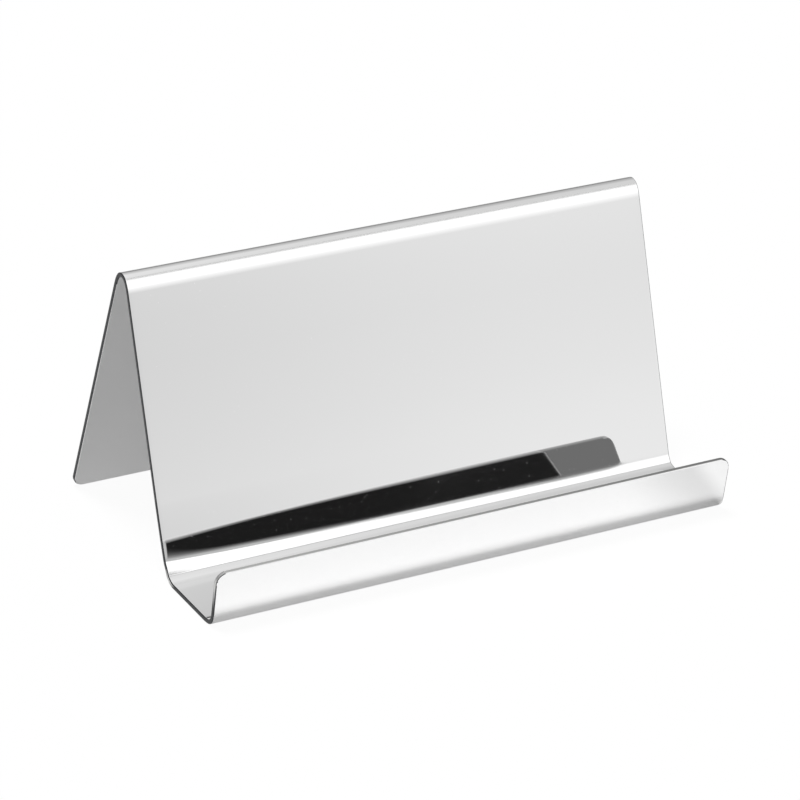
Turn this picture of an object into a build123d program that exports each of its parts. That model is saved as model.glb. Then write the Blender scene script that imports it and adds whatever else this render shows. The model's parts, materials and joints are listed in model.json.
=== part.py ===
from build123d import *
import os
from math import cos, isclose, radians, sin, tan

# A desk stand for business cards, folded from one sheet of polished steel.
# The sheet rises from the back foot to a rounded ridge, comes down as the panel that the
# cards lean on, turns forward as the card shelf and ends in a low front lip.
# X runs along the folds, Y points to the back and Z is up. The origin is on the table,
# under the middle of the stand. Lengths are millimetres and angles are degrees.

# The sheet and the blank that is cut from it
sheet_width = 100.0
sheet_thickness = 0.8
blank_corner_radius = 2.2
edge_break_radius = 0.15

# The A-shaped frame: the back leg and the panel lean alike
stand_height = 49.0
side_lean_angle = 19.7
ridge_inside_radius = 1.7

# The card shelf, from the heel bend below the panel to the toe bend below the lip
shelf_depth = 17.5
heel_inside_radius = 2.3
toe_inside_radius = 1.7

# The front lip, measured up its front face from the toe
lip_length = 10.85
lip_lean_angle = 6.8


def lost_reach(lean):
    """How far a square corner that leans by this angle falls short once its edge is broken."""
    return edge_break_radius * (cos(lean) + sin(lean) - 1)


def under_face_corners():
    """Corners of the under face, from the foot to the lip's top, as if its bends were sharp."""
    lean = radians(side_lean_angle)
    lip_lean = radians(lip_lean_angle)
    ridge_centre_height = stand_height - sheet_thickness - ridge_inside_radius
    apex_height = ridge_centre_height + ridge_inside_radius / sin(lean)
    half_spread = apex_height * tan(lean)

    # The leg is cut long enough for its broken edge to stand on the table.
    foot_drop = lost_reach(lean)
    foot_spread = half_spread + foot_drop * tan(lean)
    lip_top_spread = half_spread + shelf_depth + lip_length * sin(lip_lean)

    # The ridge stands behind the middle by half of what the front reaches past the back.
    back_reach = foot_spread + sheet_thickness * cos(lean) - lost_reach(lean)
    front_reach = lip_top_spread - lost_reach(lip_lean)
    apex_y = (front_reach - back_reach) / 2

    foot = (apex_y + foot_spread, -foot_drop)
    apex = (apex_y, apex_height)
    heel = (apex_y - half_spread, 0)
    toe = (apex_y - half_spread - shelf_depth, 0)
    lip_top = (apex_y - lip_top_spread, lip_length * cos(lip_lean))
    return [foot, apex, heel, toe, lip_top]


def edges_of_length(part, length):
    """Edges of the part that have this length."""
    return [edge for edge in part.edges() if isclose(edge.length, length, rel_tol=1e-6)]


def make_folded_sheet():
    """The whole stand: the folded section drawn from its under face, with rounded blank corners."""
    # The under face is inside the ridge bend and outside the other two.
    under_face_radii = [
        ridge_inside_radius,
        heel_inside_radius + sheet_thickness,
        toe_inside_radius + sheet_thickness,
    ]
    with BuildPart() as sheet:
        with BuildSketch(Plane.YZ):
            with BuildLine():
                FilletPolyline(*under_face_corners(), radius=under_face_radii)
                offset(amount=sheet_thickness, side=Side.RIGHT)
            make_face()
        extrude(amount=sheet_width / 2, both=True)

        # Two corners of the blank are at the foot and two at the top of the lip.
        fillet(edges_of_length(sheet, sheet_thickness), radius=blank_corner_radius)

        # Polishing breaks every rim of the cut edge. Bend lines and lines across it stay as they are.
        smooth_edges = edges_of_length(sheet, sheet_width) + edges_of_length(sheet, sheet_thickness)
        fillet(sheet.edges() - ShapeList(smooth_edges), radius=edge_break_radius)
    return sheet.part


os.makedirs("parts", exist_ok=True)
export_step(make_folded_sheet(), "parts/folded_sheet.step")
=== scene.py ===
"""A desk stand for business cards, folded from one sheet of mirror-polished stainless steel.

The sheet is modelled in the order in which it is folded: the back leg, the ridge, the panel that the
cards lean on, the heel, the card shelf, the toe and the front lip. X runs along the folds, Y points to
the back and Z is up. Lengths are in millimetres until they reach a mesh or a shader, which take metres,
and angles are in degrees.
"""

import json
import logging
from abc import ABC, abstractmethod
from dataclasses import dataclass
from enum import Enum
from math import ceil, cos, pi, radians, sin, tan

import bpy
from mathutils import Matrix, Vector, geometry

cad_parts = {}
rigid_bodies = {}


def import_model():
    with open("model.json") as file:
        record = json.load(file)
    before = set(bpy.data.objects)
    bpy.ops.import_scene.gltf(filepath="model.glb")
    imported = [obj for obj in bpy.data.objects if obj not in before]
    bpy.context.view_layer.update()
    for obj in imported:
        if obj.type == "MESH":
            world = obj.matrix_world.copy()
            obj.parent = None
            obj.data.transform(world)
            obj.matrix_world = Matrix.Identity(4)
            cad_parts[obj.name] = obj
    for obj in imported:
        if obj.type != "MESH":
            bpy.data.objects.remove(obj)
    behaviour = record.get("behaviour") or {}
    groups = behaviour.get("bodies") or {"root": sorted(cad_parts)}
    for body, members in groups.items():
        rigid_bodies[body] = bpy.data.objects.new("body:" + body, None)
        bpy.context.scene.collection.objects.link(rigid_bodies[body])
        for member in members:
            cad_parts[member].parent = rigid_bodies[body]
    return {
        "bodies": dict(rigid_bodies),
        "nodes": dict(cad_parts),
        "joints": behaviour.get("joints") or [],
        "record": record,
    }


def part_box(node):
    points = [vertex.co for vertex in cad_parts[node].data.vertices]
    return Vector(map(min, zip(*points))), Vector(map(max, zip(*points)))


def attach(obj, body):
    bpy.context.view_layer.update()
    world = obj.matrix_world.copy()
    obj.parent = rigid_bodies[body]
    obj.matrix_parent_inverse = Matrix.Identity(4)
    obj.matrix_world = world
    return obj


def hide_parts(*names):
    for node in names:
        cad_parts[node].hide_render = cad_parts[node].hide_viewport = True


MM = 0.001
QUARTER_TURN = 90.0
HALF_TURN = 180.0
NODE = "folded_sheet"
BODY = "root"

# The sRGB curve is straight below its knee and a power above it.
SRGB_MOST = 255
SRGB_KNEE = 0.04045
SRGB_SLOPE = 12.92
SRGB_OFFSET = 0.055
SRGB_POWER = 2.4

Colour = tuple[float, float, float, float]
Pairs = tuple[tuple[float, float], ...]
Tree = bpy.types.NodeTree
Socket = bpy.types.NodeSocket

log = logging.getLogger("card_stand")


class FoldWay(Enum):
    """The side of the sheet that a fold closes on, as the sign of its turn about X."""

    UNDER_FACE = 1
    UPPER_FACE = -1


class Surface(Enum):
    """The material slots of the sheet."""

    POLISHED = 0
    SHEARED = 1
    BROKEN = 2


def linear(hex_colour: str) -> Colour:
    """Turn an sRGB hex colour into the linear colour that a shader takes.

    Args:
        hex_colour: Six hex digits, red first.

    Returns:
        Linear red, green and blue, with an alpha of one.
    """
    parts = [part / SRGB_MOST for part in bytes.fromhex(hex_colour)]
    red, green, blue = [
        part / SRGB_SLOPE
        if part <= SRGB_KNEE
        else ((part + SRGB_OFFSET) / (1 + SRGB_OFFSET)) ** SRGB_POWER
        for part in parts
    ]
    return red, green, blue, 1.0


def grey(level: float) -> Colour:
    """Give the linear colour of white light at a level."""
    return level, level, level, 1.0


def add_node(
    tree: Tree,
    kind: str,
    settings: dict[str, object] | None = None,
    inputs: dict[str | int, object] | None = None,
) -> bpy.types.Node:
    """Add a node with its settings, its values and its links.

    Args:
        tree: The node tree of a material or of the world.
        kind: The type of the node.
        settings: Properties of the node by name.
        inputs: For each input, by name or number, a value or the socket that feeds it.

    Returns:
        The new node.
    """
    node = tree.nodes.new(kind)
    for name, value in (settings or {}).items():
        setattr(node, name, value)
    for key, value in (inputs or {}).items():
        if isinstance(value, Socket):
            tree.links.new(value, node.inputs[key])
        else:
            node.inputs[key].default_value = value
    return node


def empty_tree(owner: bpy.types.Material | bpy.types.World) -> Tree:
    """Switch on the nodes of a material or a world and clear them.

    Args:
        owner: The material or world.

    Returns:
        Its empty node tree.
    """
    owner.use_nodes = True
    owner.node_tree.nodes.clear()
    return owner.node_tree


def tell_rays(tree: Tree) -> tuple[Socket, Socket]:
    """Tell the camera's own rays from those that come by way of the mirror.

    Args:
        tree: The node tree of a material or of the world.

    Returns:
        One for a ray from the camera, and one for a mirrored ray. Each is nought for other rays.
    """
    rays = add_node(tree, "ShaderNodeLightPath")
    mirrored = add_node(
        tree, "ShaderNodeMath", {"operation": "MAXIMUM"},
        {0: rays.outputs["Is Glossy Ray"], 1: rays.outputs["Is Transmission Ray"]},
    )
    return rays.outputs["Is Camera Ray"], mirrored.outputs[0]


def distance_to_line(tree: Tree, place: Socket, line: tuple[float, float]) -> Socket:
    """Measure how far a place is from a line along X.

    Args:
        tree: The node tree of a material.
        place: The place in metres.
        line: Y and Z of the line in millimetres.

    Returns:
        The distance in metres.
    """
    spot = add_node(tree, "ShaderNodeSeparateXYZ", inputs={"Vector": place})
    section = add_node(
        tree, "ShaderNodeCombineXYZ", inputs={"Y": spot.outputs["Y"], "Z": spot.outputs["Z"]},
    )
    distance = add_node(
        tree, "ShaderNodeVectorMath", {"operation": "DISTANCE"},
        {0: section.outputs["Vector"], 1: (0, line[0] * MM, line[1] * MM)},
    )
    return distance.outputs["Value"]


@dataclass(frozen=True)
class Finish(ABC):
    """A finish and the material that shows it, patterned on Object coordinates."""

    name: str

    @abstractmethod
    def surface(self, tree: Tree, place: Socket) -> Socket:
        """Draw the surface.

        Args:
            tree: The material's node tree.
            place: The Object coordinates.

        Returns:
            The shader of the surface.
        """

    def material(self) -> bpy.types.Material:
        """Make the material.

        Returns:
            The new material.
        """
        material = bpy.data.materials.new(self.name)
        tree = empty_tree(material)
        place = add_node(tree, "ShaderNodeTexCoord").outputs["Object"]
        add_node(tree, "ShaderNodeOutputMaterial", inputs={"Surface": self.surface(tree, place)})
        return material


@dataclass(frozen=True)
class MirrorPolishedStainlessSteel(Finish):
    """Cold-rolled stainless steel, buffed to a mirror: it shows the room sharply, a little greyed.

    What tells it from a perfect mirror is a thin haze that the buffing wheel leaves in soft patches,
    more haze in the folds, and fine specks of dust that catch light where the reflection is dark.
    """

    name: str = "mirror_polished_stainless_steel"
    colour: str = "F2F2F2"
    roughness_clear: float = 0.012
    roughness_haze: float = 0.026
    roughness_ridge: float = 0.32
    roughness_heel: float = 0.14
    roughness_speck: float = 0.45

    # The size of a patch of haze, and the values of the pattern that are clear and all haze
    haze_patch: float = 14.0
    haze_stretch: float = 4.0
    haze_detail: float = 3.0
    haze_range: tuple[float, float] = (0.35, 0.7)

    # The height of the ridge's tight turns, and the middle line of the heel
    ridge_turns: float = 48.42
    ridge_spread: float = 0.3
    heel_middle: tuple[float, float] = (-10.0, 1.9)
    heel_hazy: float = 1.0
    heel_clear: float = 1.6

    # The dust, and the share of its cells that hold a speck
    speck_spacing: float = 1.0
    speck_radius: float = 0.05
    speck_share: float = 0.45

    def surface(self, tree: Tree, place: Socket) -> Socket:
        """Draw the mirror.

        Args:
            tree: The material's node tree.
            place: The Object coordinates.

        Returns:
            The shader of the mirror.
        """
        buffed = self.buff(tree, place)
        folded = self.haze_folds(tree, place, buffed)
        steel = add_node(
            tree, "ShaderNodeBsdfPrincipled",
            inputs={
                "Base Color": linear(self.colour), "Metallic": 1.0,
                "Roughness": self.dust(tree, place, folded),
            },
        )
        return steel.outputs["BSDF"]

    def buff(self, tree: Tree, place: Socket) -> Socket:
        """Draw the haze of the buffing wheel.

        Args:
            tree: The material's node tree.
            place: The Object coordinates.

        Returns:
            The roughness of the flats.
        """
        # The wheel runs along the folds, so its haze is drawn out along X.
        patch = self.haze_patch * MM
        wheel_run = add_node(
            tree, "ShaderNodeMapping",
            inputs={"Vector": place, "Scale": (1 / (self.haze_stretch * patch), 1 / patch, 1 / patch)},
        )
        haze = add_node(
            tree, "ShaderNodeTexNoise",
            inputs={"Vector": wheel_run.outputs["Vector"], "Scale": 1.0, "Detail": self.haze_detail},
        )
        clear, hazy = self.haze_range
        roughness = add_node(
            tree, "ShaderNodeMapRange",
            inputs={
                "Value": haze.outputs["Fac"], "From Min": clear, "From Max": hazy,
                "To Min": self.roughness_clear, "To Max": self.roughness_haze,
            },
        )
        return roughness.outputs["Result"]

    def haze_folds(self, tree: Tree, place: Socket, roughness: Socket) -> Socket:
        """Draw the haze of the folds.

        Args:
            tree: The material's node tree.
            place: The Object coordinates.
            roughness: The roughness of the flats.

        Returns:
            The roughness of the flats and the folds.
        """
        # Folding stretched the steel most at the two tight turns of the ridge, so they are hazier.
        spot = add_node(tree, "ShaderNodeSeparateXYZ", inputs={"Vector": place})
        above = add_node(
            tree, "ShaderNodeMath", {"operation": "SUBTRACT"},
            {0: spot.outputs["Z"], 1: self.ridge_turns * MM},
        )
        apart = add_node(tree, "ShaderNodeMath", {"operation": "ABSOLUTE"}, {0: above.outputs[0]})
        ridge = add_node(
            tree, "ShaderNodeMapRange",
            inputs={
                "Value": apart.outputs[0], "From Min": self.ridge_spread * MM, "From Max": 0.0,
                "To Min": roughness, "To Max": self.roughness_ridge,
            },
        )

        # The press rubbed the hollow of the heel, which blurs the bright strip along its middle.
        heel = add_node(
            tree, "ShaderNodeMapRange",
            inputs={
                "Value": distance_to_line(tree, place, self.heel_middle),
                "From Min": self.heel_clear * MM, "From Max": self.heel_hazy * MM,
                "To Min": ridge.outputs["Result"], "To Max": self.roughness_heel,
            },
        )
        return heel.outputs["Result"]

    def dust(self, tree: Tree, place: Socket, roughness: Socket) -> Socket:
        """Scatter fine dust.

        Args:
            tree: The material's node tree.
            place: The Object coordinates.
            roughness: The roughness of the clean steel.

        Returns:
            The roughness of the steel with its dust.
        """
        # Each cell may hold one speck. Real dust is finer: these are as coarse as they need to show.
        cells = add_node(
            tree, "ShaderNodeTexVoronoi",
            inputs={"Vector": place, "Scale": 1 / (self.speck_spacing * MM)},
        )
        near = add_node(
            tree, "ShaderNodeMath", {"operation": "LESS_THAN"},
            {0: cells.outputs["Distance"], 1: self.speck_radius / self.speck_spacing},
        )
        pick = add_node(tree, "ShaderNodeSeparateColor", inputs={"Color": cells.outputs["Color"]})
        chosen = add_node(
            tree, "ShaderNodeMath", {"operation": "LESS_THAN"},
            {0: pick.outputs["Red"], 1: self.speck_share},
        )
        speck = add_node(
            tree, "ShaderNodeMath", {"operation": "MULTIPLY"},
            {0: near.outputs[0], 1: chosen.outputs[0]},
        )
        dusted = add_node(
            tree, "ShaderNodeMapRange",
            inputs={"Value": speck.outputs[0], "To Min": roughness, "To Max": self.roughness_speck},
        )
        return dusted.outputs["Result"]


@dataclass(frozen=True)
class ShearedStainlessEdge(Finish):
    """The flat of the cut edge: dull, dark and scored as the shear left it, with a painted highlight on
    the lip.

    The lip's edge is painted pale, a painted highlight that is palest high up and at the left end, and
    the heel's end has a painted glint.
    """

    name: str = "sheared_stainless_edge"
    colour_dark: str = "2A2B2D"
    colour_light: str = "434446"
    # The colour of the painted highlight
    colour_painted_highlight: str = "C9C9C8"
    roughness: float = 0.42
    score_spacing: float = 0.3
    score_depth: float = 0.004
    score_detail: float = 2.0

    # The painted highlight on the lip's edge: where it starts along Y, the heights at which it is dull
    # and bright, and the share that is left at its right end
    lip_front: float = -20.0
    lip_dull: float = 4.0
    lip_bright: float = 8.0
    lip_far_share: float = 0.41
    lip_run: float = 50.0

    # The painted glint at the heel's end
    heel_middle: tuple[float, float] = (-11.2, 1.6)
    heel_bright: float = 0.9
    heel_dull: float = 1.9

    def surface(self, tree: Tree, place: Socket) -> Socket:
        """Draw the cut edge.

        Args:
            tree: The material's node tree.
            place: The Object coordinates.

        Returns:
            The shader of the edge.
        """
        # Real scores are closer together: these are as coarse as they need to show.
        scores = add_node(
            tree, "ShaderNodeTexNoise",
            inputs={
                "Vector": place, "Scale": 1 / (self.score_spacing * MM), "Detail": self.score_detail,
            },
        )
        tone = add_node(
            tree, "ShaderNodeMix", {"data_type": "RGBA"},
            {
                "Factor": scores.outputs["Fac"],
                "A": linear(self.colour_dark), "B": linear(self.colour_light),
            },
        )
        # The painted highlight pales the edge's colour.
        colour = add_node(
            tree, "ShaderNodeMix", {"data_type": "RGBA"},
            {
                "Factor": self.painted_highlight_share(tree, place),
                "A": tone.outputs["Result"], "B": linear(self.colour_painted_highlight),
            },
        )
        relief = add_node(
            tree, "ShaderNodeBump",
            inputs={"Height": scores.outputs["Fac"], "Distance": self.score_depth * MM, "Strength": 1.0},
        )
        edge = add_node(
            tree, "ShaderNodeBsdfPrincipled",
            inputs={
                "Base Color": colour.outputs["Result"], "Metallic": 1.0, "Roughness": self.roughness,
                "Normal": relief.outputs["Normal"],
            },
        )
        return edge.outputs["BSDF"]

    def painted_highlight_share(self, tree: Tree, place: Socket) -> Socket:
        """Tell how far the edge is painted pale as a highlight.

        Args:
            tree: The material's node tree.
            place: The Object coordinates.

        Returns:
            The share, from nought where it is dull to one.
        """
        # The painted highlight grows up the lip, in front of the shelf, and falls along the lip to the
        # right.
        spot = add_node(tree, "ShaderNodeSeparateXYZ", inputs={"Vector": place})
        along = add_node(
            tree, "ShaderNodeMapRange",
            inputs={
                "Value": spot.outputs["X"],
                "From Min": -self.lip_run * MM, "From Max": self.lip_run * MM,
                "To Min": 1.0, "To Max": self.lip_far_share,
            },
        )
        before = add_node(
            tree, "ShaderNodeMath", {"operation": "LESS_THAN"},
            {0: spot.outputs["Y"], 1: self.lip_front * MM},
        )
        in_front = add_node(
            tree, "ShaderNodeMath", {"operation": "MULTIPLY"},
            {0: before.outputs[0], 1: along.outputs["Result"]},
        )
        lip = add_node(
            tree, "ShaderNodeMapRange",
            inputs={
                "Value": spot.outputs["Z"], "To Max": in_front.outputs[0],
                "From Min": self.lip_dull * MM, "From Max": self.lip_bright * MM,
            },
        )
        # The heel's end gets a painted glint.
        heel = add_node(
            tree, "ShaderNodeMapRange",
            inputs={
                "Value": distance_to_line(tree, place, self.heel_middle),
                "From Min": self.heel_dull * MM, "From Max": self.heel_bright * MM,
            },
        )
        # The edge takes the paler of the two painted highlights.
        buffed = add_node(
            tree, "ShaderNodeMath", {"operation": "MAXIMUM"},
            {0: lip.outputs["Result"], 1: heel.outputs["Result"]},
        )
        return buffed.outputs[0]


@dataclass(frozen=True)
class BrokenStainlessRim(Finish):
    """The broken rim on both sides of the cut edge: brushed over with grit, so a dark fine outline."""

    name: str = "broken_stainless_rim"
    colour_dark: str = "2A2B2C"
    colour_light: str = "4C4D4F"
    roughness: float = 0.38
    stroke_spacing: float = 0.6
    stroke_detail: float = 2.0

    def surface(self, tree: Tree, place: Socket) -> Socket:
        """Draw the rim.

        Args:
            tree: The material's node tree.
            place: The Object coordinates.

        Returns:
            The shader of the rim.
        """
        # Real strokes of the grit are finer: these are as coarse as they need to show.
        strokes = add_node(
            tree, "ShaderNodeTexNoise",
            inputs={
                "Vector": place, "Scale": 1 / (self.stroke_spacing * MM), "Detail": self.stroke_detail,
            },
        )
        tone = add_node(
            tree, "ShaderNodeMix", {"data_type": "RGBA"},
            {
                "Factor": strokes.outputs["Fac"],
                "A": linear(self.colour_dark), "B": linear(self.colour_light),
            },
        )
        rim = add_node(
            tree, "ShaderNodeBsdfPrincipled",
            inputs={"Base Color": tone.outputs["Result"], "Metallic": 1.0, "Roughness": self.roughness},
        )
        return rim.outputs["BSDF"]


@dataclass(frozen=True)
class WhiteStudioPaper(Finish):
    """Matte white paper under the stand.

    To the camera it is plain white but for a trace of the stand's shadow. To the mirror most of it is
    paper that the lamp lights, with a painted shade: a soft grey strip in line with the stand's right
    end.
    """

    name: str = "white_studio_paper"
    own_white_seen: float = 0.95
    own_white_mirrored: float = 0.22

    # The painted shade: its brightness at its deepest, and where it starts, is deepest and ends along X
    shade_level: float = 0.76
    shade_from: float = 33.0
    shade_deepest: float = 49.8
    shade_to: float = 54.5

    def surface(self, tree: Tree, place: Socket) -> Socket:
        """Draw the paper.

        Args:
            tree: The material's node tree.
            place: The Object coordinates.

        Returns:
            The shader: a share of plain white, and the rest white paper that the lamp lights.
        """
        seen, mirrored = tell_rays(tree)
        mirror_share = add_node(
            tree, "ShaderNodeMath", {"operation": "MULTIPLY"}, {0: mirrored, 1: self.own_white_mirrored},
        )
        share = add_node(
            tree, "ShaderNodeMath", {"operation": "MULTIPLY_ADD"},
            {0: seen, 1: self.own_white_seen, 2: mirror_share.outputs[0]},
        )
        rest = add_node(
            tree, "ShaderNodeMath", {"operation": "SUBTRACT"}, {0: 1.0, 1: share.outputs[0]},
        )
        # For the mirror, the lit paper is dimmed by a painted shade.
        lit_share = add_node(
            tree, "ShaderNodeMath", {"operation": "MULTIPLY"},
            {0: rest.outputs[0], 1: self.painted_shade(tree, place, seen)},
        )
        white = add_node(tree, "ShaderNodeEmission", inputs={"Strength": share.outputs[0]})
        paper = add_node(tree, "ShaderNodeBsdfDiffuse", inputs={"Color": lit_share.outputs[0]})
        both = add_node(
            tree, "ShaderNodeAddShader", inputs={0: white.outputs[0], 1: paper.outputs[0]},
        )
        return both.outputs[0]

    def painted_shade(self, tree: Tree, place: Socket, seen: Socket) -> Socket:
        """Draw the painted shade, a grey strip that the camera doesn't see.

        Args:
            tree: The material's node tree.
            place: The Object coordinates.
            seen: One for a ray from the camera.

        Returns:
            The brightness of the lit paper, one outside the strip.
        """
        spot = add_node(tree, "ShaderNodeSeparateXYZ", inputs={"Vector": place})
        deepest = add_node(
            tree, "ShaderNodeMapRange",
            inputs={"Value": seen, "To Min": self.shade_level, "To Max": 1.0},
        )
        sides = []
        for bright in (self.shade_from, self.shade_to):
            side = add_node(
                tree, "ShaderNodeMapRange", {"interpolation_type": "SMOOTHSTEP"},
                {
                    "Value": spot.outputs["X"],
                    "From Min": self.shade_deepest * MM, "From Max": bright * MM,
                    "To Min": deepest.outputs["Result"], "To Max": 1.0,
                },
            )
            sides.append(side.outputs["Result"])
        level = add_node(tree, "ShaderNodeMath", {"operation": "MAXIMUM"}, {0: sides[0], 1: sides[1]})
        return level.outputs[0]


@dataclass(frozen=True)
class Fold:
    """One fold of the sheet, which eases from the flat into a tight middle and out again.

    The radius is that of the plain arc on the upper face which touches the same two flats and comes
    as near to their corner. Each stage of the easing is a turn in degrees and a radius.
    """

    way: FoldWay
    turn: float
    radius: float
    easing: Pairs

    def half_stages(self) -> list[tuple[float, float]]:
        """List the stages from the flat to the middle of the fold.

        Returns:
            The easing and the tight middle, each as a turn in degrees and a radius.
        """
        half = radians(self.turn / 2)
        room = self.radius * (1 - cos(half))
        turned = 0.0
        for turn, radius in self.easing:
            room -= radius * (cos(radians(turned)) - cos(radians(turned + turn)))
            turned += turn
        middle_radius = room / (cos(radians(turned)) - cos(half))
        return [*self.easing, (self.turn / 2 - turned, middle_radius)]

    def stages(self) -> list[tuple[float, float]]:
        """List all stages, with the tight middle as one arc.

        Returns:
            The turn in degrees and the radius of each stage, in order.
        """
        *way_in, (half_turn, radius) = self.half_stages()
        return [*way_in, (2 * half_turn, radius), *reversed(way_in)]

    def setback(self) -> float:
        """Measure from the corner of the two flats, drawn on until they meet, to the fold's start.

        Returns:
            The length in millimetres.
        """
        reach = 0.0
        turned = 0.0
        for turn, radius in reversed(self.half_stages()):
            reach += radius * (sin(radians(turned + turn)) - sin(radians(turned)))
            turned += turn
        return reach / cos(radians(self.turn / 2))

    def course(self, corner: Vector, heading: Vector, step: float) -> list[Vector]:
        """Place points along the fold on the upper face.

        Args:
            corner: Where the two flats would meet, in Y and Z in millimetres.
            heading: The direction of the first flat.
            step: The turn between two points in degrees.

        Returns:
            Points in Y and Z from the fold's start to its end, in millimetres.
        """
        place = corner - heading * self.setback()
        points = [place]
        for turn, radius in self.stages():
            steps = ceil(turn / step)
            swing = Matrix.Rotation(radians(self.way.value * turn / steps), 2)
            for _ in range(steps):
                centre = place + Vector((-heading.y, heading.x)) * radius * self.way.value
                place = centre + swing @ (place - centre)
                heading = swing @ heading
                points.append(place)
        return points


@dataclass(frozen=True)
class EndCurl:
    """How far the foot of the panel bows forward at the sheet's left end, and how the bow dies out.

    The depth is at the panel's foot and the sheet's end. It falls to nothing over the height and over
    the width, each time as a power of what is left of the way.
    """

    depth: float
    height: float
    height_power: float
    width: float
    width_power: float

    def depth_at(self, inward: float) -> float:
        """Give the depth at the panel's foot.

        Args:
            inward: The way in from the sheet's end, in millimetres.

        Returns:
            The depth in millimetres.
        """
        return self.depth * max(0.0, 1 - max(0.0, inward) / self.width) ** self.width_power

    def share_on_panel(self, rise: float) -> float:
        """Give the share of the depth that is left at a height above the panel's foot."""
        return max(0.0, 1 - rise / self.height) ** self.height_power

    def share_in_fold(self, along: float, run: float) -> float:
        """Give the share that is left in the fold, which takes the panel's slope over and ends it.

        Args:
            along: How much of the fold is passed, from nought to one.
            run: The straight length of the fold in millimetres.

        Returns:
            The share of the depth.
        """
        steepness = self.height_power * run / self.height
        return 1 - 3 * along ** 2 + 2 * along ** 3 + steepness * along * (1 - along) ** 2


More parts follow.
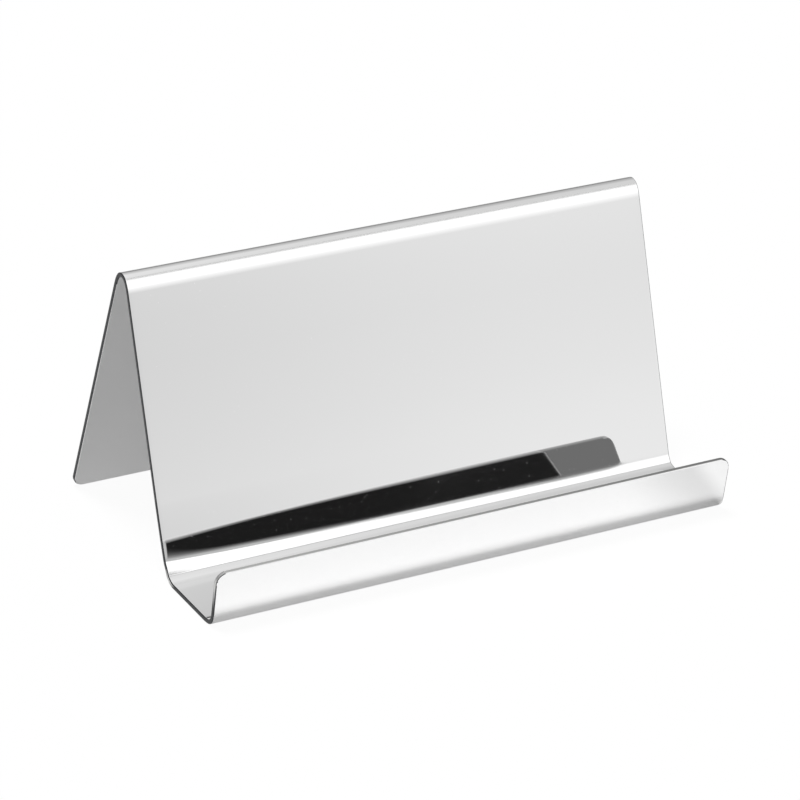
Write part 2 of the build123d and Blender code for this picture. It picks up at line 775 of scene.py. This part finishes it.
@dataclass
class FoldedSheet:
    """The stand itself: one rectangle of steel with rounded corners and three folds."""

    width: float
    height: float

    # The blank and its cut edge
    thickness: float = 0.8
    corner_radius: float = 2.2
    edge_break: float = 0.15
    dull_rim_slant: float = 0.2

    # The two sides, the shelf and the lip
    side_lean: float = 19.7
    shelf_depth: float = 17.5
    lip_length: float = 10.85
    lip_lean: float = 6.8

    # The three folds
    ridge_radius: float = 2.44
    ridge_easing: Pairs = ((4.2, 11.0), (18.0, 5.1), (7.5, 1.1))
    heel_radius: float = 2.765
    heel_easing: Pairs = ((6.4, 1.64), (16.26, 5.91))
    toe_radius: float = 1.7
    toe_easing: Pairs = ((5.0, 8.0), (12.0, 4.0))

    # The heel at its sharpest, and how far from the right end it starts to sharpen and is as sharp
    tight_radius: float = 2.15
    tight_easing: Pairs = ((6.4, 1.64), (16.26, 5.3))
    tight_from: float = 60.0
    tight_full: float = 22.0

    # The bow of the panel's foot at the left end: a sharp one, a wide one and a short one added up
    curls: tuple[EndCurl, ...] = (
        EndCurl(depth=0.111, height=5.37, height_power=13.2, width=89.5, width_power=4.43),
        EndCurl(depth=0.266, height=10.56, height_power=1.66, width=93.0, width_power=3.28),
        EndCurl(depth=0.02, height=2.4, height_power=2.0, width=8.0, width_power=2.0),
    )

    # The rolled strip along the lip's top and the two ends, and how soon above the shelf it is whole
    roll_turn: float = 4.05
    roll_radius: float = 10.9
    roll_clearance: float = 2.0

    # How finely the sheet is cut
    fold_step: float = 1.0
    column_width: float = 2.0
    curl_rows: int = 22
    curl_crowding: float = 1.5
    roll_rows: int = 3
    corner_steps: int = 12
    break_steps: int = 3
    shortest_edge: float = 0.07

    # What counts as a double, as one place and as a rim, and how far large faces set a normal
    doubled: float = 0.001
    same_place: float = 0.01
    rim_angle: float = 60.0
    flat_weight: int = 50

    def ridge_fold(self) -> Fold:
        """Give the fold at the top, between the leg and the panel."""
        turn = HALF_TURN - 2 * self.side_lean
        return Fold(FoldWay.UNDER_FACE, turn, self.ridge_radius, self.ridge_easing)

    def heel_fold(self) -> Fold:
        """Give the fold between the panel and the shelf."""
        turn = QUARTER_TURN - self.side_lean
        return Fold(FoldWay.UPPER_FACE, turn, self.heel_radius, self.heel_easing)

    def tight_heel_fold(self) -> Fold:
        """Give the heel's fold where it is sharpest."""
        turn = QUARTER_TURN - self.side_lean
        return Fold(FoldWay.UPPER_FACE, turn, self.tight_radius, self.tight_easing)

    def toe_fold(self) -> Fold:
        """Give the fold between the shelf and the lip."""
        turn = QUARTER_TURN - self.lip_lean
        return Fold(FoldWay.UPPER_FACE, turn, self.toe_radius, self.toe_easing)

    def lost_reach(self, lean: float) -> float:
        """Work out how far a square edge falls short, at a lean in degrees, once it is broken."""
        return self.edge_break * (cos(radians(lean)) + sin(radians(lean)) - 1)

    def corners(self) -> list[Vector]:
        """Place the corners of the upper face, as if its folds were sharp.

        Returns:
            Points in Y and Z from the foot to the top of the lip, in millimetres.
        """
        lean = radians(self.side_lean)
        lip_lean = radians(self.lip_lean)
        wall = self.thickness
        bend = self.ridge_radius
        half_spread = (self.height - bend) * tan(lean) + (bend - wall) / cos(lean)
        foot_drop = self.lost_reach(self.side_lean)
        foot_spread = half_spread + foot_drop * tan(lean)
        lip_spread = half_spread + self.shelf_depth + self.lip_length * sin(lip_lean)

        # The stand's middle is halfway between the foot's back and the lip's front.
        back_reach = foot_spread + wall * cos(lean) - self.lost_reach(self.side_lean)
        front_reach = lip_spread - self.lost_reach(self.lip_lean)
        ridge_y = (front_reach - back_reach) / 2

        heel_inset = wall * tan((pi / 2 - lean) / 2)
        toe_inset = wall * tan((pi / 2 - lip_lean) / 2)
        foot = Vector((ridge_y + foot_spread + wall * cos(lean), wall * sin(lean) - foot_drop))
        ridge = Vector((ridge_y, self.height - bend + bend / sin(lean)))
        heel = Vector((ridge_y - half_spread - heel_inset, wall))
        toe = Vector((ridge_y - half_spread - self.shelf_depth + toe_inset, wall))
        lip_top = Vector((
            ridge_y - lip_spread + wall * cos(lip_lean),
            self.lip_length * cos(lip_lean) + wall * sin(lip_lean),
        ))
        return [foot, ridge, heel, toe, lip_top]

    def build(self) -> bpy.types.Object:
        """Model the sheet.

        Returns:
            The finished object, with its place in its mesh.
        """
        sheet = self.lay_leg()
        self.fold_up()
        self.round_corners()
        self.cut_columns()
        self.cut_rows(*self.panel_foot(), self.curl_heights())
        self.cut_rows(*self.roll_start(), self.roll_heights())
        bpy.ops.mesh.select_all(action="SELECT")
        bpy.ops.mesh.remove_doubles(threshold=self.shortest_edge * MM)
        bpy.ops.object.mode_set(mode="OBJECT")
        self.tighten_heel(sheet)
        self.curl_end(sheet)
        self.roll_edges(sheet)
        self.thicken(sheet)
        return sheet

    def lay_leg(self) -> bpy.types.Object:
        """Lay the flat back leg and open it for editing, with its upper edge selected.

        Returns:
            The new object.
        """
        foot, ridge = self.corners()[:2]
        run = ridge - foot
        start = foot + run.normalized() * (run.length - self.ridge_fold().setback())
        middle = (foot + start) / 2
        bpy.ops.object.select_all(action="DESELECT")
        bpy.ops.mesh.primitive_plane_add(
            size=1.0, location=(0, middle.x * MM, middle.y * MM),
            rotation=(radians(QUARTER_TURN + self.side_lean), 0, 0),
        )
        leg = bpy.context.active_object
        leg.name = "mirror_folded_sheet"
        leg.data.name = leg.name
        leg.scale = (self.width * MM, (start - foot).length * MM, 1)
        bpy.ops.object.transform_apply(location=True, rotation=True, scale=True)
        bpy.ops.object.mode_set(mode="EDIT")
        self.select_at([start])
        return leg

    def select_at(self, places: list[Vector]) -> None:
        """Select only what lies along X at places of the section.

        Args:
            places: Y and Z of each in millimetres.
        """
        bpy.ops.mesh.select_all(action="DESELECT")
        bpy.ops.object.mode_set(mode="OBJECT")
        mesh = bpy.context.active_object.data
        for vertex in mesh.vertices:
            spot = Vector((vertex.co.y, vertex.co.z))
            vertex.select = min((spot - place * MM).length for place in places) < self.same_place * MM
        for edge in mesh.edges:
            edge.select = all(mesh.vertices[index].select for index in edge.vertices)
        bpy.ops.object.mode_set(mode="EDIT")

    def fold_up(self) -> None:
        """Spin each fold from the open edge and draw out the flat that follows it."""
        corners = self.corners()
        folds = [self.ridge_fold(), self.heel_fold(), self.toe_fold()]
        for number, fold in enumerate(folds, start=1):
            heading = (corners[number] - corners[number - 1]).normalized()
            place = corners[number] - heading * fold.setback()
            for turn, radius in fold.stages():
                signed = fold.way.value * turn
                left = Vector((-heading.y, heading.x))
                centre = place + left * radius * fold.way.value
                inner_radius = radius - self.thickness if fold.way is FoldWay.UNDER_FACE else radius
                most_steps = max(1, int(radians(turn) * inner_radius / self.shortest_edge))
                bpy.ops.mesh.spin(
                    steps=min(ceil(turn / self.fold_step), most_steps), angle=-radians(signed),
                    center=(0, centre.x * MM, centre.y * MM), axis=(1, 0, 0),
                )
                swing = Matrix.Rotation(radians(signed), 2)
                place = centre + swing @ (place - centre)
                heading = swing @ heading
            next_setback = folds[number].setback() if number < len(folds) else 0
            end = corners[number + 1] - heading * next_setback
            run = end - place
            bpy.ops.mesh.extrude_region_move(
                TRANSFORM_OT_translate={"value": (0, run.x * MM, run.y * MM)},
            )
        bpy.ops.mesh.select_all(action="SELECT")
        bpy.ops.mesh.remove_doubles(threshold=self.doubled * MM)
        bpy.ops.mesh.normals_make_consistent(inside=False)
        bpy.ops.object.mode_set(mode="OBJECT")
        mesh = bpy.context.active_object.data
        if max(mesh.polygons, key=lambda face: face.center.z).normal.z < 0:
            mesh.flip_normals()
        bpy.ops.object.mode_set(mode="EDIT")

    def round_corners(self) -> None:
        """Round the four corners of the blank: two at the foot and two at the top of the lip."""
        foot, *_, lip_top = self.corners()
        self.select_at([foot, lip_top])
        bpy.ops.mesh.bevel(
            offset=self.corner_radius * MM, segments=self.corner_steps, affect="VERTICES",
        )

    def cut_columns(self) -> None:
        """Cut the sheet into narrow columns, so that it can bow along its width and roll at its ends."""
        columns = round(self.width / self.column_width)
        places = [(column / columns - 0.5) * self.width for column in range(1, columns)]
        for height in self.roll_heights():
            inset = self.width / 2 - self.roll_strip() + height
            places += [-inset, inset]
        for x in places:
            bpy.ops.mesh.select_all(action="SELECT")
            bpy.ops.mesh.bisect(plane_co=(x * MM, 0, 0), plane_no=(1, 0, 0))

    def panel_foot(self) -> tuple[Vector, Vector]:
        """Find where the panel's flat ends above the heel.

        Returns:
            That place in Y and Z in millimetres, and the direction up the panel.
        """
        _, ridge, heel, *_ = self.corners()
        upward = (ridge - heel).normalized()
        return heel + upward * self.heel_fold().setback(), upward

    def curl_heights(self) -> list[float]:
        """List where the panel is cut into rows: the nearer to its foot, the closer.

        Returns:
            Heights above the panel's foot in millimetres.
        """
        top = max(curl.height for curl in self.curls)
        rows = range(1, self.curl_rows + 1)
        return [top * (row / self.curl_rows) ** self.curl_crowding for row in rows]

    def roll_strip(self) -> float:
        """Give the width of the rolled strip along an edge, in millimetres."""
        return radians(self.roll_turn) * self.roll_radius

    def roll_start(self) -> tuple[Vector, Vector]:
        """Find where the lip starts to roll, just below its top.

        Returns:
            That place in Y and Z in millimetres, and the direction up the lip.
        """
        *_, toe, lip_top = self.corners()
        upward = (lip_top - toe).normalized()
        return lip_top - upward * self.roll_strip(), upward

    def roll_heights(self) -> list[float]:
        """List where a rolled strip is cut into rows, in millimetres above the roll's start."""
        return [self.roll_strip() * row / self.roll_rows for row in range(self.roll_rows)]

    def cut_rows(self, start: Vector, upward: Vector, heights: list[float]) -> None:
        """Cut one flat of the sheet into narrow rows, so that it can bow.

        Args:
            start: A place on the flat, in Y and Z in millimetres.
            upward: The direction up the flat.
            heights: The heights of the cuts above the start, in millimetres.
        """
        for height in heights:
            place = start + upward * height
            bpy.ops.mesh.select_all(action="DESELECT")
            bpy.ops.object.mode_set(mode="OBJECT")
            for face in bpy.context.active_object.data.polygons:
                offset = Vector((face.center.y, face.center.z)) / MM - start
                face.select = abs(offset.cross(upward)) < self.same_place
            bpy.ops.object.mode_set(mode="EDIT")
            bpy.ops.mesh.bisect(
                plane_co=(0, place.x * MM, place.y * MM), plane_no=(0, upward.x, upward.y),
            )

    def tighten_heel(self, sheet: bpy.types.Object) -> None:
        """Press the heel into its corner, the more the nearer to the right end, where it is sharper.

        Args:
            sheet: The object to press, still without thickness.
        """
        _, ridge, heel, toe, _ = self.corners()
        curve = self.tight_heel_fold().course(heel, (heel - ridge).normalized(), self.fold_step)
        section = [ridge, *curve, toe]
        reach = self.heel_fold().setback()
        pushes = {}
        for vertex in sheet.data.vertices:
            place = Vector((vertex.co.y, vertex.co.z)) / MM
            inward = max(0.0, self.width / 2 - vertex.co.x / MM)
            if inward >= self.tight_from or (place - heel).length > reach:
                continue
            drops = [geometry.intersect_point_line(place, *ends) for ends in zip(section, section[1:])]
            gap = min((place - drop.xy).length for drop, along in drops if 0 <= along <= 1)
            share = min(1.0, (self.tight_from - inward) / (self.tight_from - self.tight_full))
            pushes[vertex.index] = -gap * share
        self.push(sheet, "tight_heel", pushes)

    def curl_end(self, sheet: bpy.types.Object) -> None:
        """Curl the foot of the panel forward at its left end, where the fold sprang back.

        Args:
            sheet: The object to curl, still without thickness.
        """
        _, _, heel, *_ = self.corners()
        start, upward = self.panel_foot()
        end = heel + Vector((-self.heel_fold().setback(), 0))
        fold_run = end - start
        pushes = {}
        for vertex in sheet.data.vertices:
            inward = vertex.co.x / MM + self.width / 2
            offset = Vector((vertex.co.y, vertex.co.z)) / MM - start
            rise = offset.dot(upward)
            along = offset.dot(fold_run) / fold_run.length_squared
            aside = abs(offset.cross(fold_run)) / fold_run.length
            if rise >= 0 and abs(offset.cross(upward)) < self.same_place:
                shares = [curl.share_on_panel(rise) for curl in self.curls]
            elif 0 < along < 1 and aside < self.heel_radius:
                shares = [curl.share_in_fold(along, fold_run.length) for curl in self.curls]
            else:
                continue
            pushes[vertex.index] = sum(
                curl.depth_at(inward) * share for curl, share in zip(self.curls, shares)
            )
        self.push(sheet, "curled_end", pushes)

    def roll_edges(self, sheet: bpy.types.Object) -> None:
        """Roll the lip's top and the two ends a little to the under face, as the shear drew them.

        Args:
            sheet: The object to roll, still without thickness.
        """
        start, upward = self.roll_start()
        pushes = {}
        for vertex in sheet.data.vertices:
            offset = Vector((vertex.co.y, vertex.co.z)) / MM - start
            rise = offset.dot(upward) if abs(offset.cross(upward)) < self.same_place else 0.0
            outward = abs(vertex.co.x) / MM - self.width / 2 + self.roll_strip()

            # The ends of the shelf stay flat on the table.
            share = min(1.0, max(0.0, vertex.co.z / MM - self.thickness) / self.roll_clearance)
            bow = max(0.0, rise) ** 2 + share * max(0.0, outward) ** 2
            if bow > 0:
                pushes[vertex.index] = -bow / (2 * self.roll_radius)
        self.push(sheet, "rolled_edges", pushes)

    def push(self, sheet: bpy.types.Object, name: str, pushes: dict[int, float]) -> None:
        """Push vertices along their normals.

        Args:
            sheet: The object to change.
            name: The name of the change.
            pushes: Millimetres by the number of the vertex, all to one side of the sheet.
        """
        peak = max(pushes.values(), key=abs)
        group = sheet.vertex_groups.new(name=name)
        for index, length in pushes.items():
            group.add([index], length / peak, "REPLACE")
        change = sheet.modifiers.new(name, "DISPLACE")
        change.vertex_group = group.name
        change.mid_level = 0.0
        change.strength = peak * MM
        bpy.ops.object.modifier_apply(modifier=change.name)
        sheet.vertex_groups.clear()

    def thicken(self, sheet: bpy.types.Object) -> None:
        """Give the sheet its thickness below the upper face, break its rims and dress it.

        Args:
            sheet: The object to finish.
        """
        wall = sheet.modifiers.new("wall", "SOLIDIFY")
        wall.thickness = self.thickness * MM
        wall.offset = -1
        wall.use_even_offset = True
        wall.material_offset_rim = Surface.SHEARED.value

        # A rim keeps one even width, past short edges too, so that none of its faces folds over.
        rims = sheet.modifiers.new("broken_rims", "BEVEL")
        rims.width = self.edge_break * MM
        rims.segments = self.break_steps
        rims.limit_method = "ANGLE"
        rims.angle_limit = radians(self.rim_angle)
        rims.use_clamp_overlap = False
        rims.loop_slide = False
        rims.material = Surface.BROKEN.value

        flats = sheet.modifiers.new("true_flats", "WEIGHTED_NORMAL")
        flats.weight = self.flat_weight
        flats.keep_sharp = True
        for finish in (MirrorPolishedStainlessSteel(), ShearedStainlessEdge(), BrokenStainlessRim()):
            sheet.data.materials.append(finish.material())
        bpy.ops.object.shade_smooth()
        for modifier in list(sheet.modifiers):
            bpy.ops.object.modifier_apply(modifier=modifier.name)

        # The grit leaves its dull finish at the two ends only, and the other rims are polished.
        for face in sheet.data.polygons:
            if face.material_index == Surface.BROKEN.value and abs(face.normal.x) < self.dull_rim_slant:
                face.material_index = Surface.POLISHED.value


@dataclass
class Studio:
    """White paper, a soft lamp and the walls that the mirror shows, with the camera among them."""

    floor_size: float = 6000.0

    # The camera, and the point that it looks at
    camera_azimuth: float = 30.283
    camera_elevation: float = 26.737
    camera_roll: float = 2.785
    camera_distance: float = 681.04
    camera_aim: tuple[float, float, float] = (-0.70, 0.0, 19.47)
    lens: float = 177.395
    sensor: float = 36.0

    # Brightness of the walls by the angle from the front horizon over the top to the back horizon.
    left_wall: Pairs = (
        (0, 0.80), (8.0, 0.79), (9.0, 0.765), (10.6, 0.73), (11.6, 0.73), (22, 1.16), (28, 1.25),
        (47, 1.25), (60.2, 0.95), (61.5, 0.75), (66, 0.74), (70, 0.645), (80, 0.88), (112, 0.90),
        (122, 0.78), (137, 0.62), (154, 0.45), (157, 0.19), (160, 0.19), (163, 0.36), (180, 0.36),
    )
    right_wall: Pairs = (
        (0, 0.95), (8.0, 0.91), (9.4, 0.86), (10.8, 0.842), (22, 1.16), (28, 1.25), (47, 1.25),
        (60.2, 0.95), (61.5, 0.73), (80, 0.73), (112, 0.72), (122, 0.62), (137, 0.52), (154, 0.40),
        (157, 0.19), (160, 0.19), (163, 0.36), (180, 0.36),
    )

    # Between these two reaches the left wall passes into the right one. A reach is how far a unit
    # direction goes along X.
    left_reach: float = 0.36
    right_reach: float = 0.50

    # The dark gap between two soft boxes: where the light fades and is gone, and, further up at the left
    # than at the right, where it comes in again and is back.
    gap_start: tuple[float, float] = (57.6, 60.2)
    gap_end_left: tuple[float, float] = (64.4, 69.6)
    gap_end_right: tuple[float, float] = (60.9, 66.8)

    # The reaches between which the gap's end comes down, and those where the gap darkens and lightens.
    gap_reach: tuple[float, float] = (0.416, 0.455)
    gap_sides: tuple[float, float, float, float] = (0.362, 0.392, 0.515, 0.57)
    gap_ease: float = 1.1
    gap_dark: float = 0.016

    # The light on the paper, which the mirror doesn't show
    room_light: float = 0.25
    lamp_light: float = 0.75
    lamp_spread: float = 17.0
    lamp_from: tuple[float, float, float] = (-0.12, 0.15, 0.95)

    def build(self) -> bpy.types.Object:
        """Set up the studio.

        Returns:
            The floor.
        """
        floor = self.lay_floor()
        self.paint_walls()
        self.hang_lamp()
        self.place_camera()
        return floor

    def lay_floor(self) -> bpy.types.Object:
        """Lay the paper that the stand stands on.

        Returns:
            The floor.
        """
        bpy.ops.object.select_all(action="DESELECT")
        bpy.ops.mesh.primitive_plane_add(size=self.floor_size * MM)
        floor = bpy.context.active_object
        floor.name = "studio_paper"
        floor.data.materials.append(WhiteStudioPaper().material())
        return floor

    def paint_walls(self) -> None:
        """Paint the surroundings: white to the camera, soft boxes and walls to the mirror."""
        world = bpy.context.scene.world or bpy.data.worlds.new("studio_walls")
        bpy.context.scene.world = world
        tree = empty_tree(world)
        direction = add_node(tree, "ShaderNodeTexCoord").outputs["Generated"]
        way = add_node(tree, "ShaderNodeSeparateXYZ", inputs={"Vector": direction})
        reach = way.outputs["X"]
        forward = add_node(
            tree, "ShaderNodeMath", {"operation": "MULTIPLY"}, {0: way.outputs["Y"], 1: -1.0},
        )
        angle = add_node(
            tree, "ShaderNodeMath", {"operation": "ARCTAN2"},
            {0: way.outputs["Z"], 1: forward.outputs[0]},
        )
        wall = add_node(
            tree, "ShaderNodeMix", {"data_type": "RGBA"},
            {
                "Factor": self.beside_gap(tree, angle.outputs[0], reach),
                "A": grey(self.gap_dark), "B": self.lit_walls(tree, angle.outputs[0], reach),
            },
        )
        seen, mirrored = tell_rays(tree)
        plain = add_node(
            tree, "ShaderNodeMapRange",
            inputs={"Value": seen, "To Min": self.room_light, "To Max": 1.0},
        )
        shown = add_node(
            tree, "ShaderNodeMix", {"data_type": "RGBA"},
            {"Factor": mirrored, "A": plain.outputs["Result"], "B": wall.outputs["Result"]},
        )
        back = add_node(tree, "ShaderNodeBackground", inputs={"Color": shown.outputs["Result"]})
        add_node(tree, "ShaderNodeOutputWorld", inputs={"Surface": back.outputs["Background"]})

    def lit_walls(self, tree: Tree, angle: Socket, reach: Socket) -> Socket:
        """Draw the two walls without the gap.

        Args:
            tree: The world's node tree.
            angle: The angle from the front horizon over the top, in radians.
            reach: How far a unit direction goes along X.

        Returns:
            The light of the walls.
        """
        height = add_node(tree, "ShaderNodeMapRange", inputs={"Value": angle, "From Max": pi})
        walls = []
        for stops in (self.left_wall, self.right_wall):
            ramp = add_node(tree, "ShaderNodeValToRGB", inputs={"Fac": height.outputs["Result"]})
            bands = ramp.color_ramp.elements
            for band, (stop, bright) in zip(bands, (stops[0], stops[-1])):
                band.position = stop / HALF_TURN
                band.color = grey(bright)
            for stop, bright in stops[1:-1]:
                bands.new(stop / HALF_TURN).color = grey(bright)
            walls.append(ramp.outputs["Color"])
        side = add_node(
            tree, "ShaderNodeMapRange", {"interpolation_type": "SMOOTHSTEP"},
            {"Value": reach, "From Min": self.left_reach, "From Max": self.right_reach},
        )
        both = add_node(
            tree, "ShaderNodeMix", {"data_type": "RGBA"},
            {"Factor": side.outputs["Result"], "A": walls[0], "B": walls[1]},
        )
        return both.outputs["Result"]

    def beside_gap(self, tree: Tree, angle: Socket, reach: Socket) -> Socket:
        """Draw where the dark gap is.

        Args:
            tree: The world's node tree.
            angle: The angle from the front horizon over the top, in radians.
            reach: How far a unit direction goes along X.

        Returns:
            Nought in the gap and one beside it.
        """
        fading, gone = self.gap_start
        below = add_node(
            tree, "ShaderNodeMapRange",
            inputs={"Value": angle, "From Min": radians(gone), "From Max": radians(fading)},
        )
        first, last = self.gap_reach
        ends = []
        for left, right in zip(self.gap_end_left, self.gap_end_right):
            tapered = add_node(
                tree, "ShaderNodeMapRange",
                inputs={
                    "Value": reach, "From Min": first, "From Max": last,
                    "To Min": radians(left), "To Max": radians(right),
                },
            )
            ends.append(tapered.outputs["Result"])
        rising = add_node(
            tree, "ShaderNodeMapRange",
            inputs={"Value": angle, "From Min": ends[0], "From Max": ends[1]},
        )
        above = add_node(
            tree, "ShaderNodeMath", {"operation": "POWER"},
            {0: rising.outputs["Result"], 1: self.gap_ease},
        )
        beside = add_node(
            tree, "ShaderNodeMath", {"operation": "MAXIMUM"},
            {0: below.outputs["Result"], 1: above.outputs[0]},
        )
        light_left, dark_left, dark_right, light_right = self.gap_sides
        for dark, light in ((dark_left, light_left), (dark_right, light_right)):
            past_end = add_node(
                tree, "ShaderNodeMapRange",
                inputs={"Value": reach, "From Min": dark, "From Max": light},
            )
            beside = add_node(
                tree, "ShaderNodeMath", {"operation": "MAXIMUM"},
                {0: beside.outputs[0], 1: past_end.outputs["Result"]},
            )
        return beside.outputs[0]

    def hang_lamp(self) -> None:
        """Hang a wide soft lamp high above the stand, which the mirror doesn't show."""
        bpy.ops.object.light_add(type="SUN", location=self.lamp_from)
        lamp = bpy.context.active_object
        lamp.name = "soft_lamp"
        lamp.rotation_euler = (-lamp.location).to_track_quat("-Z", "Y").to_euler()
        lamp.data.angle = radians(self.lamp_spread)
        lamp.data.energy = pi * self.lamp_light / lamp.location.normalized().z
        lamp.visible_glossy = False

    def place_camera(self) -> None:
        """Place the camera where the photograph was taken from."""
        turn = radians(self.camera_azimuth)
        dip = radians(self.camera_elevation)
        roll = radians(self.camera_roll)
        right = Vector((cos(turn), -sin(turn), 0))
        look = Vector((cos(dip) * sin(turn), cos(dip) * cos(turn), -sin(dip)))
        upward = right.cross(look)
        across = cos(roll) * right + sin(roll) * upward
        upright = cos(roll) * upward - sin(roll) * right
        eye = (Vector(self.camera_aim) - look * self.camera_distance) * MM
        bpy.ops.object.camera_add()
        camera = bpy.context.active_object
        camera.name = "photo_camera"
        camera.matrix_world = Matrix((
            (across.x, upright.x, -look.x, eye.x),
            (across.y, upright.y, -look.y, eye.y),
            (across.z, upright.z, -look.z, eye.z),
            (0, 0, 0, 1),
        ))
        camera.data.lens = self.lens
        camera.data.sensor_width = self.sensor
        bpy.context.scene.camera = camera


def main() -> None:
    """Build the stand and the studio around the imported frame."""
    logging.basicConfig(level=logging.INFO, format="%(name)s: %(message)s")
    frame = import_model()
    log.info("frame: %s", ", ".join(sorted(frame)))
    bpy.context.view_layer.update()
    low, high = (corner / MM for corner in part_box(NODE))

    sheet = FoldedSheet(width=high.x - low.x, height=high.z).build()
    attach(sheet, BODY)
    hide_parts(NODE)
    log.info("%s: %d faces", sheet.name, len(sheet.data.polygons))

    floor = Studio().build()
    log.info("%s: stage", floor.name)

    bpy.context.scene.view_settings.view_transform = "Standard"


if __name__ == "__main__":
    main()
